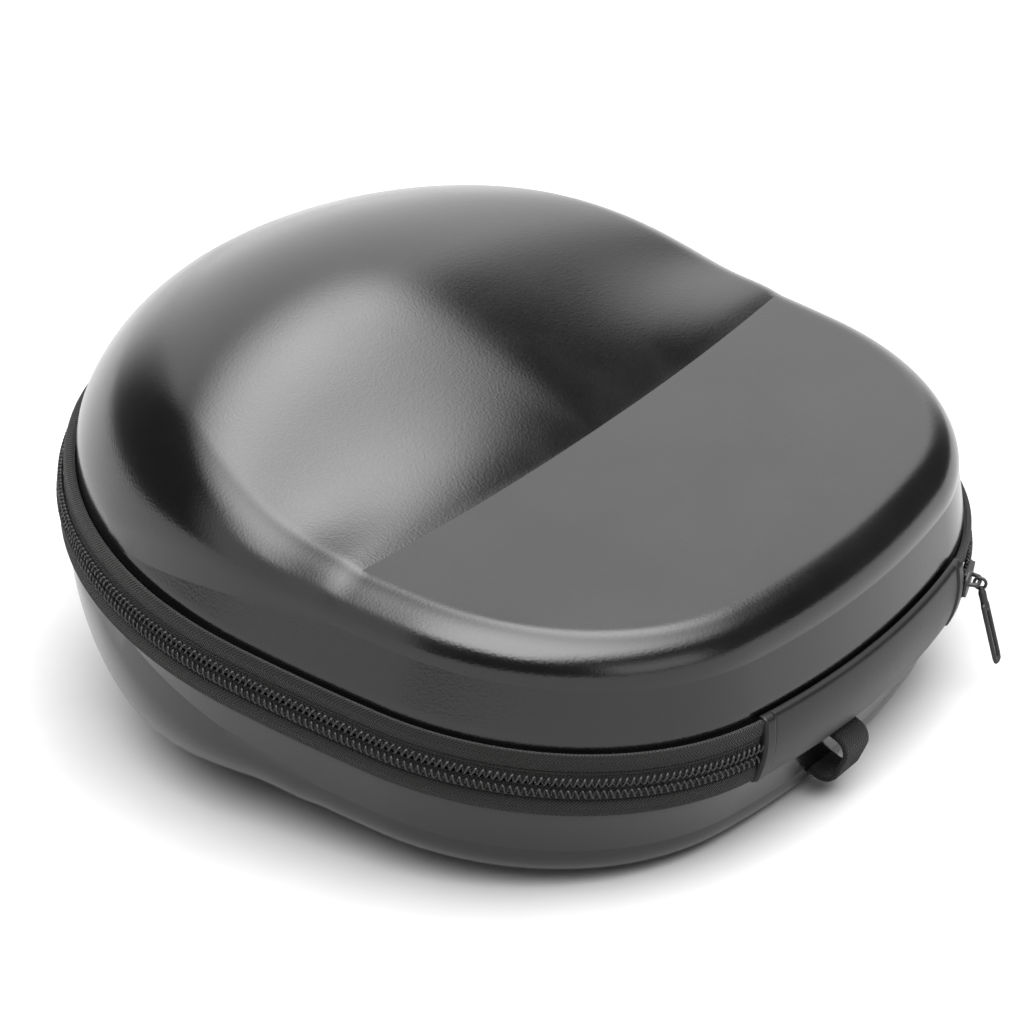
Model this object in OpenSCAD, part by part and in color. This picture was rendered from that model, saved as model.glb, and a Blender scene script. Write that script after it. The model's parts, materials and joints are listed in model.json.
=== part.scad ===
// Hard headphone case: two moulded half shells, joined by a leather spine and a coil zip.
// The case frame has the zip plane at z = 0, the spine at +Y and the domed end at -Y.
// at_rest() then stands the case on its domed base, as it rests on a table.

/* [Outline of the zip band, seen from above] */
// Radius of the gently curved spine end
spine_end_r = 290; // [250:5:340]
// Half angle that the spine end covers
spine_end_deg = 9.7; // [9:0.1:11]
// Radius of the two corners beside the spine
corner_r = 78; // [70:1:84]
// Angle that each corner turns through
corner_deg = 76.3; // [74:0.1:78]
// Radius of the nearly straight sides
side_r = 490; // [400:10:600]
// Angle that each side turns through
side_deg = 4.9; // [4.5:0.1:5.5]

/* [Half shell] */
// Height of the flat zone above the zip plane
flat_h = 34.6; // [32:0.2:37]
// Radius of the shoulder around the flat zone
shoulder_r = 11; // [9:0.5:14]
// Height that the shoulder falls to at the domed end
end_h = 24; // [22:0.5:28]
// Radius of the shoulder at the domed end
end_shoulder_r = 24; // [20:0.5:28]
// How far the dome rises above the shoulder's level
dome_rise = 30.4; // [26:0.2:34]
// How far the wall leans inwards for each millimetre of height
wall_draft = 0.28; // [0.2:0.01:0.34]
// Inset of the wall behind the band at the spine
wall_inset = 1.6; // [1.6:0.1:2.2]
// Inset of the wall behind the band at the domed end
end_wall_inset = 2.5; // [1.8:0.1:3]
// Place of the crease between flat zone and dome, on the centre line
crease_y = 25.3; // [20:0.5:30]
// How far the crease bends towards the dome at 100 mm from the centre line
crease_bow = 4.6; // [3:0.2:6]
// How steeply the dome leaves the crease; 0 gives a soft crease
crease_lift = 0.3; // [0:0.05:0.5]
// Height of the shell's rim above the zip plane
rim_z = 4; // [3.8:0.1:4.4]

/* [Layers] */
// Thickness of the outer leather skin
cover_t = 0.8; // [0.6:0.1:1]
// Thickness of the moulded foam shell
foam_t = 3.4; // [3:0.1:4]
// Thickness of the knitted lining
lining_t = 0.8; // [0.6:0.1:1]
// Thickness of the binding around the rim
binding_t = 0.6; // [0.5:0.1:0.7]
// Height of the binding's inner leg
binding_leg = 5.5; // [4:0.5:7]

/* [Zip] */
// Half height of the zip band
band_h = 8.9; // [8.4:0.1:9.4]
// Half gap between the two coils
coil_gap = 0.4; // [0.35:0.05:0.5]
// Height of one coil
coil_h = 2.6; // [2.2:0.1:2.8]
// Thickness of one coil
coil_t = 1.6; // [1.4:0.1:1.8]
// Thickness of the woven tape
tape_t = 0.8; // [0.6:0.1:0.9]
// How far the sewn tape stands outside the outline
tape_out = 0.4; // [0.2:0.1:0.6]
// Length of the slider
slider_len = 11; // [9:0.5:13]
// Height of the slider's outer plate
slider_h = 8.2; // [7:0.2:8.4]
// Angle from the corner's start to the slider, where it rests beside the spine
slider_deg = 8; // [7:0.5:10]
// Length of the pull tab
pull_len = 21.5; // [16:0.5:26]
// Width of the pull tab
pull_w = 4.4; // [4:0.2:5.6]
// Thickness of the pull tab
pull_t = 1; // [0.8:0.1:1.6]
// How far the pull tab hangs twisted on its ring
pull_twist = -6; // [-20:2:20]
// How far the stiff pull tab leans outwards from the plumb line
pull_lean = 13; // [0:1:20]

/* [Spine and loop] */
// Half height of the leather spine
spine_h = 9.6; // [9.2:0.1:10]
// How far the middle of the spine stands outside the outline
spine_out = 2.2; // [1.8:0.1:2.6]
// Width of the hang loop's webbing
loop_w = 12; // [10:1:14]
// Thickness of the webbing
loop_t = 1.4; // [1:0.1:1.6]
// How far the loop stands out from the wall
loop_out = 7.4; // [7:0.1:8]
// Height of the loop, from foot to foot
loop_h = 15; // [14:0.5:18]
// Place of the loop along the spine
loop_x = 8; // [0:1:14]
// Height of the loop's middle below the zip plane
loop_z = 18.5; // [17.5:0.5:22]

/* [Pocket in the lid] */
// Height of the mesh panel above the zip plane
pocket_z = 14; // [12:0.5:16]
// Place of the pocket's open edge
pocket_y = 22; // [18:1:30]
// Width of the elastic along the open edge
elastic_w = 9; // [7:1:11]

/* [Hidden] */
$fn = 72;

// Small gap that keeps neighbouring bodies apart
fit_gap = 0.15;

// --- Outline: tangent arcs, walked clockwise from the middle of the spine ---

// Turns a [x, y, heading] station along an arc of radius r
function along(s, r, a) = [
    s[0] + r * (sin(s[2] + a) - sin(s[2])),
    s[1] + r * (cos(s[2] + a) - cos(s[2])),
    s[2] + a
];
function arc(s, r, a, n) = [for (i = [1:n]) along(s, r, a * i / n)];

corner_start = along([0, 0, 0], spine_end_r, spine_end_deg);
side_start = along(corner_start, corner_r, corner_deg);
end_start = along(side_start, side_r, side_deg);
end_r = end_start[0] / sin(end_start[2]);
outline_len = end_r * (1 + cos(end_start[2])) - end_start[1];
half_len = outline_len / 2;

// The side is split where the crease meets it, so that the crease falls on a row of edges
crease_end_y = crease_y - crease_bow * pow(end_r / 100, 2);
to_crease_deg = acos(cos(side_start[2]) + (crease_end_y - half_len - side_start[1]) / side_r)
    - side_start[2];
crease_side = along(side_start, side_r, to_crease_deg);

SPINE_STEPS = 3;
half_outline = concat(
    [[0, 0, 0]],
    arc([0, 0, 0], spine_end_r, spine_end_deg, SPINE_STEPS),
    arc(corner_start, corner_r, corner_deg, 8),
    arc(side_start, side_r, to_crease_deg, 2),
    arc(crease_side, side_r, side_deg - to_crease_deg, 2),
    arc(end_start, end_r, 180 - end_start[2], 11)
);
HALF = len(half_outline) - 1;
COUNT = 2 * HALF;

// All the stations around the outline as [x, y, outward x, outward y]
outline = [
    for (i = [0:COUNT - 1])
        let (s = half_outline[i <= HALF ? i : COUNT - i], side = i <= HALF ? 1 : -1)
            [side * s[0], s[1] + half_len, side * sin(s[2]), cos(s[2])]
];
// A station's point, moved outwards by d
function at(i, d) = let (s = outline[(i + COUNT) % COUNT]) [s[0] + d * s[2], s[1] + d * s[3]];

// --- Surface of a half shell, o mm inside its outer face ---

function mix(a, b, t) = a + (b - a) * t;
function clamp(v) = min(max(v, 0), 1);
function smooth(t) = t * t * (3 - 2 * t);
// 0 at the crease and beyond, 1 at the domed end
function endness(y) = smooth(clamp((crease_y - y) / (crease_y + half_len)));
function inset_at(i) = mix(wall_inset, end_wall_inset, endness(outline[(i + COUNT) % COUNT][1]));

// The dome's swell over the shoulder's level
end_centre_y = end_r - half_len;
function crease_line(x) = crease_y - crease_bow * pow(x / 100, 2);
function dome_swell(x, y) =
    let (
        across = min(abs(x) / end_r, 0.999),
        far = end_centre_y - end_r * sqrt(1 - across * across),
        near = crease_line(x),
        u = clamp((near - y) / (near - far)),
        rise = 1.37 + 1.36 * across * across,
        fall = 0.92,
        peak = rise / (rise + fall),
        top = pow(peak, rise) * pow(1 - peak, fall),
        ramp = crease_lift * u * pow(max(1 - u / 0.4, 0), 3)
    )
    dome_rise * (pow(u, rise) + ramp) * pow(1 - u, fall) / top * pow(1 - pow(across, 2.14), 0.71);

SHOULDER_STEPS = 4;
TOP_STEPS = 6;

// A row of points at inset d and height z of each station's shoulder
function swollen(p) = [p[0], p[1], p[2] + dome_swell(p[0], p[1])];
function shoulder_row(o, a) = [
    for (i = [0:COUNT - 1])
        let (
            w = endness(outline[i][1]),
            top_z = mix(flat_h, end_h, w),
            across = mix(shoulder_r, end_shoulder_r, w),
            up = min(across, top_z - band_h),
            d = inset_at(i) + o + wall_draft * (top_z - up - band_h) + (across - o) * (1 - cos(a)),
            p = at(i, -d)
        )
        swollen([p[0], p[1], top_z - up + (up - o) * sin(a)])
];
// The crease bows, so the straight rays to its middle are bent to follow it
function bent(p, t) = [p[0], p[1] + crease_bow * t * (1 - t) * pow(p[0] / max(t, 0.01) / 100, 2)];
// The fall of the level towards the domed end starts softly at the crease's middle
function share(t) = (sqrt(t * t + 0.01) - 0.1) / (sqrt(1.01) - 0.1);
function top_row(o, edge, t) = [
    for (i = [0:COUNT - 1])
        let (
            e = edge[i],
            p = bent([mix(0, e[0], t), mix(crease_y, e[1], t)], t),
            z = mix(flat_h, mix(flat_h, end_h, endness(outline[i][1])), share(t)) - o
        )
        swollen([p[0], p[1], z])
];
function shell_rows(o) =
    let (
        wall = [for (z = [rim_z, band_h]) [for (i = [0:COUNT - 1]) concat(at(i, -inset_at(i) - o), z)]],
        shoulder = [for (k = [0:SHOULDER_STEPS]) shoulder_row(o, 90 * k / SHOULDER_STEPS)],
        edge = shoulder[SHOULDER_STEPS],
        top = [for (k = [TOP_STEPS - 1:-1:1]) top_row(o, edge, k / TOP_STEPS)]
    )
    concat(wall, shoulder, top);

// The lowest point of the base, mirrored below the zip plane and tilted
function lowest(rows) = min([
    for (row = rows) for (p = row) -p[2] * cos(rest_tilt) - p[1] * sin(rest_tilt)
]);

// One layer of a half shell, from o mm to o + t mm inside the outer face
module shell_layer(o, t) {
    outer = shell_rows(o);
    inner = shell_rows(o + t);
    rows = len(outer);
    size = rows * COUNT;
    points = concat(
        [for (row = outer) for (p = row) p], [[0, crease_y, flat_h - o]],
        [for (row = inner) for (p = row) p], [[0, crease_y, flat_h - o - t]]
    );
    function id(side, r, i) = side * (size + 1) + r * COUNT + i % COUNT;
    function tip(side) = side * (size + 1) + size;
    faces = concat(
        [for (r = [0:rows - 2]) for (i = [0:COUNT - 1]) [id(0, r, i), id(0, r, i + 1), id(0, r + 1, i + 1)]],
        [for (r = [0:rows - 2]) for (i = [0:COUNT - 1]) [id(0, r, i), id(0, r + 1, i + 1), id(0, r + 1, i)]],
        [for (i = [0:COUNT - 1]) [id(0, rows - 1, i), id(0, rows - 1, i + 1), tip(0)]],
        [for (r = [0:rows - 2]) for (i = [0:COUNT - 1]) [id(1, r, i), id(1, r + 1, i + 1), id(1, r, i + 1)]],
        [for (r = [0:rows - 2]) for (i = [0:COUNT - 1]) [id(1, r, i), id(1, r + 1, i), id(1, r + 1, i + 1)]],
        [for (i = [0:COUNT - 1]) [id(1, rows - 1, i), tip(1), id(1, rows - 1, i + 1)]],
        [for (i = [0:COUNT - 1]) [id(0, 0, i), id(1, 0, i), id(1, 0, i + 1)]],
        [for (i = [0:COUNT - 1]) [id(0, 0, i), id(1, 0, i + 1), id(0, 0, i + 1)]]
    );
    polyhedron(points, faces, convexity = 6);
}

// --- Strips that follow the outline ---

// Flat ring between two lists of offsets, over stations first to last
module strip(first, last, outer, inner) {
    polygon(concat(
        [for (i = [first:last]) at(i, outer[i - first])],
        [for (i = [last:-1:first]) at(i, inner[i - first])]
    ));
}
module closed_ring(d_out, d_in) {
    difference() {
        polygon([for (i = [0:COUNT - 1]) at(i, -inset_at(i) - d_out)]);
        polygon([for (i = [0:COUNT - 1]) at(i, -inset_at(i) - d_in)]);
    }
}

// The zip runs from one end of the spine, round the domed end, to the other
FIRST = SPINE_STEPS;
LAST = COUNT - SPINE_STEPS;
function even(d) = [for (i = [FIRST:LAST]) d];
function on_wall() = [for (i = [FIRST:LAST]) -inset_at(i)];

// --- Placing ---

// Tilt and height at which the domed base rests on a table
rest_tilt = 9;
rest_h = -lowest(shell_rows(0));
// Shift that brings the middle of the footprint to the origin
rest_y = -0.12;

module at_rest() {
    translate([0, rest_y, rest_h]) rotate([-rest_tilt, 0, 0]) children();
}
module lower_half() {
    at_rest() mirror([0, 0, 1]) children();
}

// --- Parts that both halves share ---

module rim_binding() {
    wall_t = cover_t + foam_t + lining_t;
    translate([0, 0, rim_z - binding_t]) linear_extrude(binding_t) closed_ring(0, wall_t + binding_t);
    translate([0, 0, rim_z - binding_t]) linear_extrude(binding_leg) closed_ring(wall_t, wall_t + binding_t);
}
module zipper_tape() {
    translate([0, 0, rim_z]) linear_extrude(band_h - rim_z)
        strip(FIRST, LAST, even(tape_out), on_wall());
    translate([0, 0, coil_gap]) linear_extrude(rim_z - coil_gap)
        strip(FIRST, LAST, even(0.2), even(0.2 - tape_t));
}
module zipper_coil() {
    translate([0, 0, coil_gap]) linear_extrude(coil_h)
        strip(FIRST, LAST, even(0.2 + coil_t), even(0.2));
}

// --- Base half ---

module base_cover() {
    color([0.05, 0.05, 0.055]) lower_half() shell_layer(0, cover_t);
}
module base_foam_shell() {
    color([0.12, 0.12, 0.12]) lower_half() shell_layer(cover_t, foam_t);
}
module base_lining() {
    color([0.2, 0.2, 0.21]) lower_half() shell_layer(cover_t + foam_t, lining_t);
}
module base_rim_binding() {
    color([0.1, 0.1, 0.1]) lower_half() rim_binding();
}
module base_zipper_tape() {
    color([0.08, 0.08, 0.085]) lower_half() zipper_tape();
}
module base_zipper_coil() {
    color([0.06, 0.06, 0.06]) lower_half() zipper_coil();
}

// --- Lid half ---

module lid_cover() {
    color([0.05, 0.05, 0.055]) at_rest() shell_layer(0, cover_t);
}
module lid_foam_shell() {
    color([0.12, 0.12, 0.12]) at_rest() shell_layer(cover_t, foam_t);
}
module lid_lining() {
    color([0.2, 0.2, 0.21]) at_rest() shell_layer(cover_t + foam_t, lining_t);
}
module lid_rim_binding() {
    color([0.1, 0.1, 0.1]) at_rest() rim_binding();
}
module lid_zipper_tape() {
    color([0.08, 0.08, 0.085]) at_rest() zipper_tape();
}
module lid_zipper_coil() {
    color([0.06, 0.06, 0.06]) at_rest() zipper_coil();
}

// Stretched mesh panel across the flat zone of the lid, sewn to the lining round three sides
pocket_wall = cover_t + foam_t + lining_t + wall_draft * (pocket_z - band_h) + 3 * fit_gap;
module pocket_area(y_low, y_high) {
    intersection() {
        polygon([for (i = [0:COUNT - 1]) at(i, -inset_at(i) - pocket_wall)]);
        translate([-end_r, y_low]) square([2 * end_r, y_high - y_low]);
    }
}
module mesh_pocket() {
    color([0.15, 0.15, 0.16]) at_rest() translate([0, 0, pocket_z]) linear_extrude(0.8)
        pocket_area(pocket_y + elastic_w, half_len);
}
module pocket_elastic() {
    color([0.09, 0.09, 0.09]) at_rest() translate([0, 0, pocket_z - 0.3]) linear_extrude(1.4)
        pocket_area(pocket_y, pocket_y + elastic_w);
}

// --- Spine ---

// A band swept along the spine end, between a front and a back profile of [offset, z] points
module spine_band(front, back) {
    rim = len(front);
    size = 2 * rim;
    steps = 2 * SPINE_STEPS;
    loop = concat(front, [for (j = [rim - 1:-1:0]) back[j]]);
    points = [for (k = [0:steps]) for (q = loop) concat(at(k - SPINE_STEPS, q[0]), q[1])];
    sides = [for (k = [0:steps - 1]) for (j = [0:size - 1]) [k * size, j, (j + 1) % size]];
    ends = [for (j = [0:rim - 2]) [j, j + 1, size - 2 - j, size - 1 - j]];
    far = steps * size;
    faces = concat(
        [for (s = sides) [s[0] + s[1], s[0] + size + s[1], s[0] + size + s[2]]],
        [for (s = sides) [s[0] + s[1], s[0] + size + s[2], s[0] + s[2]]],
        [for (e = ends) [e[0], e[1], e[2]]], [for (e = ends) [e[0], e[2], e[3]]],
        [for (e = ends) [far + e[2], far + e[1], far + e[0]]],
        [for (e = ends) [far + e[3], far + e[2], far + e[0]]]
    );
    polyhedron(points, faces, convexity = 4);
}
module spine_cover() {
    wall = fit_gap - wall_inset;
    shape = [1, 0.55, 0, -0.55, -1];
    color([0.07, 0.07, 0.075]) at_rest() spine_band(
        [for (f = shape) [mix(spine_out, 0.5, pow(f, 2)), spine_h * f]],
        [for (z = [spine_h, rim_z, 0, -rim_z, -spine_h]) [z == 0 ? spine_out - 1.4 : wall, z]]
    );
}
module spine_lining() {
    front = -wall_inset - cover_t - foam_t - lining_t - binding_t - fit_gap;
    half_h = rim_z + binding_leg;
    color([0.16, 0.16, 0.17]) at_rest()
        spine_band([[front, half_h], [front, -half_h]], [[front - 0.7, half_h], [front - 0.7, -half_h]]);
}

// --- Hang loop below the spine ---

wall_lean = atan(wall_draft);
loop_wall_d = wall_inset + wall_draft * (loop_z - band_h);
module on_wall_below_spine() {
    y = spine_end_r * (sqrt(1 - pow(loop_x / spine_end_r, 2)) - 1) + half_len - loop_wall_d + 0.25;
    at_rest() translate([loop_x, y, -loop_z]) rotate([-wall_lean, 0, 0]) children();
}
// Outline of the loop's section, d mm inside its outer face: a D with round corners
module loop_section(d) {
    corner = 5 - d;
    half = loop_h / 2 - d;
    translate([-1, -half]) square([loop_out - d - corner + 1, 2 * half]);
    translate([-1, corner - half]) square([loop_out - d + 1, 2 * (half - corner)]);
    for (side = [-1, 1])
        translate([loop_out - d - corner, side * (half - corner)]) circle(corner);
}
module hang_loop() {
    color([0.09, 0.09, 0.09]) on_wall_below_spine()
        translate([-loop_w / 2, 0, 0]) rotate([90, 0, 90]) linear_extrude(loop_w) intersection() {
            difference() {
                loop_section(0);
                loop_section(loop_t);
            }
            translate([0, -loop_h]) square([loop_h, 2 * loop_h]);
        }
}
module hang_loop_bar_tacks() {
    color([0.13, 0.13, 0.13]) on_wall_below_spine()
        for (side = [-1, 1])
            translate([-0.4 * loop_w, 0.1, side * (loop_h / 2 + 0.6) - 0.5]) cube([0.8 * loop_w, 0.8, 1]);
}

// --- Slider and its pull ---

// Centre of the corner that the slider rides round, on the -X side
corner_x = corner_start[0] - corner_r * sin(corner_start[2]);
corner_y = corner_start[1] + half_len - corner_r * cos(corner_start[2]);
slider_turn = spine_end_deg + slider_deg;

// Places children at the slider: x along the band, y outwards from the outline, z up
module at_slider() {
    at_rest() translate([-corner_x, corner_y, 0]) rotate([0, 0, slider_turn]) children();
}
// A curved plate between two offsets from the outline
module curved_plate(d_in, d_out, height, length) {
    turn = length / corner_r * 180 / PI;
    rotate([0, 0, 90 - turn / 2]) translate([0, 0, -height / 2]) rotate_extrude(angle = turn)
        translate([corner_r + d_in, 0]) square([d_out - d_in, height]);
}

plate_in = 2.2;
plate_out = 3.1;
crown_d = 5.5;
crown_r = 0.6;
crown_half = 2.6;
module zipper_slider() {
    color([0.08, 0.08, 0.08]) at_slider() {
        curved_plate(plate_in, plate_out, slider_h, slider_len);
        curved_plate(-1.75, -1.15, 5.6, slider_len);
        curved_plate(-1.3, plate_in + 0.2, 2 * coil_gap - 0.4, 5);
        translate([0, corner_r + crown_d, 0]) rotate([0, 90, 0])
            cylinder(h = 2 * crown_half, r = crown_r, center = true);
        for (side = [-1, 1])
            translate([side * (crown_half - crown_r) - crown_r, corner_r + plate_out - 0.2, -crown_r])
                cube([2 * crown_r, crown_d - plate_out + 0.5, 2 * crown_r]);
    }
}

// The pull turns on the crown and leans a little outwards when the case stands on its base
ring_r = 1.6;
ring_wire = 0.45;
ring_drop = ring_r - ring_wire - crown_r - 0.06;
hang_deg = atan(tan(rest_tilt) * cos(slider_turn)) + pull_lean;
module at_pull() {
    at_slider() translate([0, corner_r + crown_d, 0]) rotate([hang_deg, 0, 0]) children();
}
pull_top = -ring_drop - ring_r - 1.2;
module pull_link() {
    color([0.1, 0.1, 0.1]) at_pull() {
        translate([0, 0, -ring_drop]) rotate([0, 90, 0]) rotate_extrude()
            translate([ring_r, 0]) circle(ring_wire);
        translate([0, 0, pull_top]) cylinder(h = 1.4, r = 1);
    }
}
// Flat tab: a neck, then a long narrow loop
module pull_tab() {
    slot_w = pull_w - 2 * pull_t;
    low = pull_top - pull_len + pull_w / 2;
    high = pull_top - 1.1 * pull_w;
    color([0.09, 0.09, 0.09]) at_pull() rotate([90, 0, pull_twist])
        linear_extrude(pull_t, center = true) difference() {
            union() {
                translate([-pull_w / 2, low]) square([pull_w, high - low]);
                translate([0, low]) circle(pull_w / 2);
                translate([0, high]) circle(pull_w / 2);
                translate([-1.5, high]) square([3, pull_top - high]);
            }
            translate([-slot_w / 2, low]) square([slot_w, high - low]);
            translate([0, low]) circle(slot_w / 2);
            translate([0, high]) circle(slot_w / 2);
        }
}

base_cover();
base_foam_shell();
base_lining();
base_rim_binding();
base_zipper_tape();
base_zipper_coil();
spine_cover();
spine_lining();
hang_loop();
hang_loop_bar_tacks();
zipper_slider();
pull_link();
pull_tab();
lid_cover();
lid_foam_shell();
lid_lining();
lid_rim_binding();
lid_zipper_tape();
lid_zipper_coil();
mesh_pocket();
pocket_elastic();
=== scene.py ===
"""Looks of a moulded headphone carrying case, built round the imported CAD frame.

Shapes are worked out in the case frame, in millimetres: the zip plane is z = 0, the spine is at +Y and the
domed end at -Y. to_row() turns them into the row frame, in metres, where the case rests on its domed base.
"""

import json
import math

import bpy
import numpy as np
from mathutils import Matrix, Vector


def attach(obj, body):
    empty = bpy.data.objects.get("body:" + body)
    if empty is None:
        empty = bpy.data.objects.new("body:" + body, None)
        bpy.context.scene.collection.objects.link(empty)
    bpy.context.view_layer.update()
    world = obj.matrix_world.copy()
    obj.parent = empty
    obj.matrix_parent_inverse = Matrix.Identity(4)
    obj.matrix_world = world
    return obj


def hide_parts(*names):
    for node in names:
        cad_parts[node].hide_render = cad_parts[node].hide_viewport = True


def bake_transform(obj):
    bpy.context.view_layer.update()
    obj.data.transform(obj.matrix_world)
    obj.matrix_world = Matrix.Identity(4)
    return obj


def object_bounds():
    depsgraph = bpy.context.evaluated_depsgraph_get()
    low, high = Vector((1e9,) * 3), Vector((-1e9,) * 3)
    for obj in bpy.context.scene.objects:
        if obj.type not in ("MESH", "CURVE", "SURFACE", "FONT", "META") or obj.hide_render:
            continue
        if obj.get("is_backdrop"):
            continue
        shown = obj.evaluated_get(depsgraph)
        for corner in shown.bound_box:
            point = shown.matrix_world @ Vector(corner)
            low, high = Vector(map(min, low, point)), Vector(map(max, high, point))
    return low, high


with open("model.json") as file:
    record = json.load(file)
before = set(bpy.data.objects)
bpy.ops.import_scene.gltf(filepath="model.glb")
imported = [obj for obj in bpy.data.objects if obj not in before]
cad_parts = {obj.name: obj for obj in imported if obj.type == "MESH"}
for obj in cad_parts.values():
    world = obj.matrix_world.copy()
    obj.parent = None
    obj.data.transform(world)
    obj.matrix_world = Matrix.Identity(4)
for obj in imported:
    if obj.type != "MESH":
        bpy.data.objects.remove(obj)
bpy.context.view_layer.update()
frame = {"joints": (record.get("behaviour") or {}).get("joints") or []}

# ---------------------------------------------------------------------------------------------
# Sizes shared with the CAD model, in millimetres and degrees
# ---------------------------------------------------------------------------------------------
SPINE_END = (290, 9.7)  # radius and angle of each arc of the outline
CORNER = (78, 76.3)
SIDE = (490, 4.9)
FLAT_H, SHOULDER_R = 34.6, 11
END_H, END_SHOULDER_R = 24, 24
DOME_RISE = 30.4
WALL_DRAFT = 0.28
WALL_INSET, END_WALL_INSET = 1.6, 2.5
CREASE_Y, CREASE_BOW, CREASE_LIFT = 25.3, 4.6, 0.3
RIM_Z, BAND_H = 4, 8.9
COVER_T, FOAM_T, LINING_T, BINDING_T = 0.8, 3.4, 0.8, 0.6
WALL_T = COVER_T + FOAM_T + LINING_T
BINDING_LEG = 5.5
COIL_GAP, COIL_H, COIL_T = 0.4, 2.6, 1.6
SPINE_H, SPINE_OUT = 9.6, 2.2
LOOP_W, LOOP_T, LOOP_OUT, LOOP_H, LOOP_X, LOOP_Z = 12, 1.4, 7.4, 15, 8, 18.5
SLIDER_LEN, SLIDER_H, SLIDER_DEG = 11, 8.2, 8
PLATE_IN, PLATE_OUT, CROWN_D, CROWN_HALF = 2.2, 3.1, 5.5, 2.6
PULL_LEN, PULL_W, PULL_T, PULL_TWIST, PULL_LEAN = 21.5, 4.4, 1.0, -6, 13
POCKET_Z, POCKET_Y, ELASTIC_W = 14, 22, 9
HINGE_Y = 115.8

# The lean of the zip plane and the place of the case frame come from the CAD joints
JOINTS = {j["name"]: j for j in frame["joints"]}
ZIP_NORMAL = JOINTS["slider_travel"]["axis"]
TILT = math.atan2(ZIP_NORMAL[1], ZIP_NORMAL[2])
ROTATION = np.array(Matrix.Rotation(-TILT, 3, "X"))
ORIGIN = np.array(JOINTS["lid_hinge"]["pos_m"]) - ROTATION @ (0, HINGE_Y * 0.001, 0)


def to_row(points):
    """Case frame in millimetres to row frame in metres."""
    return np.asarray(points, float) * 0.001 @ ROTATION.T + ORIGIN


# ---------------------------------------------------------------------------------------------
# Outline of the zip band: tangent arcs, walked clockwise from the middle of the spine
# ---------------------------------------------------------------------------------------------
def build_arcs():
    """[start length, x, y, heading, radius, angle] of each arc of one half, and half the length in y."""
    arcs, s, x, y, heading = [], 0.0, 0.0, 0.0, 0.0
    for radius, degrees in (SPINE_END, CORNER, SIDE):
        angle = math.radians(degrees)
        arcs.append((s, x, y, heading, radius, angle))
        x += radius * (math.sin(heading + angle) - math.sin(heading))
        y += radius * (math.cos(heading + angle) - math.cos(heading))
        heading += angle
        s += radius * angle
    end_r = x / math.sin(heading)
    arcs.append((s, x, y, heading, end_r, math.pi - heading))
    half_len = (end_r * (1 + math.cos(heading)) - y) / 2
    return arcs, half_len, end_r, s + end_r * (math.pi - heading)


ARCS, HALF_LEN, END_R, HALF_WAY = build_arcs()
SPINE_S = ARCS[1][0]  # distance along the outline from the spine's middle to its end


def outline(s):
    """Stations at distance s along the outline, as columns x, y, outward x, outward y."""
    s = np.asarray(s, float) % (2 * HALF_WAY)
    side = np.where(s > HALF_WAY, -1.0, 1.0)
    s = np.minimum(s, 2 * HALF_WAY - s)
    out = np.zeros((len(s), 4))
    for start, x, y, heading, radius, angle in ARCS:
        on = s >= start - 1e-9
        h = heading + (s[on] - start) / radius
        out[on, 0] = x + radius * (np.sin(h) - math.sin(heading))
        out[on, 1] = y + radius * (np.cos(h) - math.cos(heading))
        out[on, 2], out[on, 3] = np.sin(h), np.cos(h)
    out[:, 0] *= side
    out[:, 2] *= side
    out[:, 1] += HALF_LEN
    return out


def beside(st, d, z):
    """Points d outside the stations, at height z."""
    d, z = np.broadcast_to(d, len(st)), np.broadcast_to(z, len(st))
    return np.column_stack([st[:, 0] + d * st[:, 2], st[:, 1] + d * st[:, 3], z])


# ---------------------------------------------------------------------------------------------
# Surface of a half shell
# ---------------------------------------------------------------------------------------------
def smooth(t):
    t = np.clip(t, 0, 1)
    return t * t * (3 - 2 * t)


def endness(y):
    """0 at the crease and beyond, 1 at the domed end."""
    return smooth((CREASE_Y - y) / (CREASE_Y + HALF_LEN))


def wall_inset(st):
    return WALL_INSET + (END_WALL_INSET - WALL_INSET) * endness(st[:, 1])


def swell(x, y):
    """Height of the dome over the shoulder's level."""
    across = np.minimum(np.abs(x) / END_R, 0.999)
    far = END_R - HALF_LEN - END_R * np.sqrt(1 - across**2)
    near = CREASE_Y - CREASE_BOW * (x / 100) ** 2
    u = np.clip((near - y) / (near - far), 0, 1)
    rise, fall = 1.37 + 1.36 * across**2, 0.92
    peak = rise / (rise + fall)
    top = peak**rise * (1 - peak) ** fall
    ramp = u**rise + CREASE_LIFT * u * np.maximum(1 - u / 0.4, 0) ** 3
    return DOME_RISE * ramp * (1 - u) ** fall / top * (1 - across**2.14) ** 0.71


def shell_stations(density):
    """Stations round the outline, denser for a larger density, with one where the crease meets the side."""
    start, x, y, heading, radius, angle = ARCS[2]
    crease_end_y = CREASE_Y - CREASE_BOW * (END_R / 100) ** 2
    crease_turn = math.acos(math.cos(heading) + (crease_end_y - HALF_LEN - y) / radius) - heading
    breaks = [0, ARCS[1][0], ARCS[2][0], ARCS[2][0] + radius * crease_turn, ARCS[3][0], HALF_WAY]
    steps = [max(2, round(n * density)) for n in (10, 44, 8, 9, 76)]
    half = [np.linspace(a, b, n, endpoint=False) for a, b, n in zip(breaks, breaks[1:], steps)]
    half = np.concatenate(half)
    return outline(np.concatenate([half, [HALF_WAY], 2 * HALF_WAY - half[:0:-1]]))


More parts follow.
